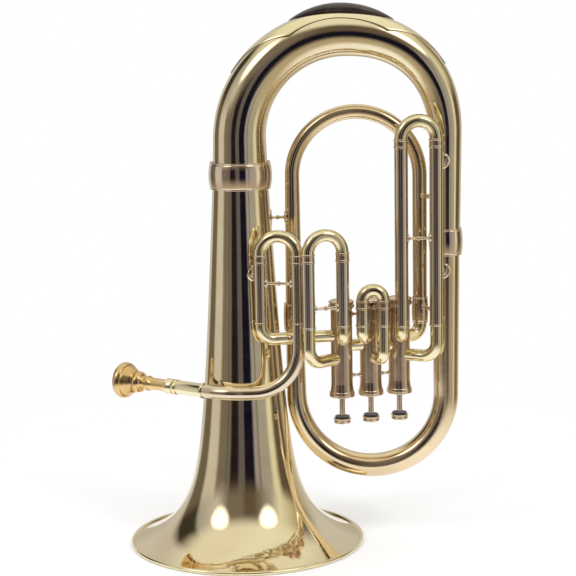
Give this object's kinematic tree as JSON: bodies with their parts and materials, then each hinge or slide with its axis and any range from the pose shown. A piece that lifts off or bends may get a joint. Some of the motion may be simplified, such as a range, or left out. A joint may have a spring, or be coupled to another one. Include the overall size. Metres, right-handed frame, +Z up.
{
  "type": "baritone horn",
  "caption": "Upright baritone horn standing on its bell, with piston valves, pull-out tuning slides, leadpipe and mouthpiece.",
  "frame": {"origin": "centre of the bell rim, on the plane that the rim stands on", "axes": "+Z up along the bell's axis, +X from the bell to the outer leg in the plane of the large bow, +Y to the back of the horn"},
  "size_m": [0.374, 0.25, 0.57],
  "materials": {
    "lacquered_brass": "mirror-polished and lacquered",
    "pale_brass": "mirror-polished and lacquered",
    "red_brass": "polished and lacquered",
    "mouthpiece_gold": "satin gold-coloured plate",
    "piston_metal": "ground and lapped",
    "felt": "pressed felt",
    "bumper": "dark and glossy",
    "spring_steel": "drawn wire"
  },
  "bodies": {
    "horn": {"bell": "lacquered_brass", "bell_rim_wire": "pale_brass", "bell_ferrule": "pale_brass", "top_bow": "lacquered_brass", "bow_guard": "pale_brass", "bow_bumper": "bumper", "outer_ferrule": "pale_brass", "outer_branch": "lacquered_brass", "lower_ferrule": "pale_brass", "inner_branch": "lacquered_brass", "exit_ferrule": "pale_brass", "exit_elbow": "pale_brass", "leadpipe": "pale_brass", "mouthpiece_receiver": "pale_brass", "inlet_elbow": "pale_brass", "knuckle_tubes": "pale_brass", "valve_casing_1": "lacquered_brass", "valve_casing_2": "lacquered_brass", "valve_casing_3": "lacquered_brass", "stem_cap_1": "red_brass", "stem_cap_2": "red_brass", "stem_cap_3": "red_brass", "spring_cap_1": "red_brass", "spring_cap_2": "red_brass", "spring_cap_3": "red_brass", "valve_spring_1": "spring_steel", "valve_spring_2": "spring_steel", "valve_spring_3": "spring_steel", "stop_felts": "felt", "tuning_sleeves": "lacquered_brass", "slide_1_sleeves": "lacquered_brass", "slide_1_elbows": "pale_brass", "slide_2_sleeves": "lacquered_brass", "slide_2_elbows": "pale_brass", "slide_3_sleeves": "lacquered_brass", "slide_3_elbows": "pale_brass", "valve_braces": "red_brass", "slide_braces": "red_brass", "body_braces": "red_brass"},
    "valve_1": {"piston_1": "piston_metal", "valve_stem_1": "red_brass", "finger_button_1": "red_brass", "button_felt_1": "felt"},
    "valve_2": {"piston_2": "piston_metal", "valve_stem_2": "red_brass", "finger_button_2": "red_brass", "button_felt_2": "felt"},
    "valve_3": {"piston_3": "piston_metal", "valve_stem_3": "red_brass", "finger_button_3": "red_brass", "button_felt_3": "felt"},
    "tuning_slide": {"tuning_crook": "pale_brass", "tuning_legs": "red_brass"},
    "slide_1": {"slide_1_crook": "pale_brass", "slide_1_legs": "red_brass"},
    "slide_2": {"slide_2_crook": "pale_brass", "slide_2_legs": "red_brass"},
    "slide_3": {"slide_3_crook": "pale_brass", "slide_3_legs": "red_brass"},
    "mouthpiece": {"mouthpiece": "mouthpiece_gold"}
  },
  "joints": [
    {"name": "valve_1_press", "type": "slide", "parent": "horn", "child": "valve_1", "axis": [0, 0, 1], "range_m": [0, 0.0155], "stiffness_N_per_m": 110, "springref_m": -0.016, "deforming": ["valve_spring_1"]},
    {"name": "valve_2_press", "type": "slide", "parent": "horn", "child": "valve_2", "axis": [0, 0, 1], "range_m": [0, 0.0155], "stiffness_N_per_m": 110, "springref_m": -0.016, "deforming": ["valve_spring_2"]},
    {"name": "valve_3_press", "type": "slide", "parent": "horn", "child": "valve_3", "axis": [0, 0, 1], "range_m": [0, 0.0155], "stiffness_N_per_m": 110, "springref_m": -0.016, "deforming": ["valve_spring_3"]},
    {"name": "tuning_slide_pull", "type": "slide", "parent": "horn", "child": "tuning_slide", "axis": [0, 0, 1], "range_m": [0, 0.045]},
    {"name": "slide_1_pull", "type": "slide", "parent": "horn", "child": "slide_1", "axis": [0, 0, 1], "range_m": [0, 0.05]},
    {"name": "slide_2_pull", "type": "slide", "parent": "horn", "child": "slide_2", "axis": [0, 0, 1], "range_m": [0, 0.012]},
    {"name": "slide_3_pull", "type": "slide", "parent": "horn", "child": "slide_3", "axis": [0, 0, 1], "range_m": [0, 0.1]},
    {"name": "mouthpiece_pull", "type": "slide", "parent": "horn", "child": "mouthpiece", "axis": [-0.829, 0.5592, 0], "range_m": [0, 0.018]}
  ]
}
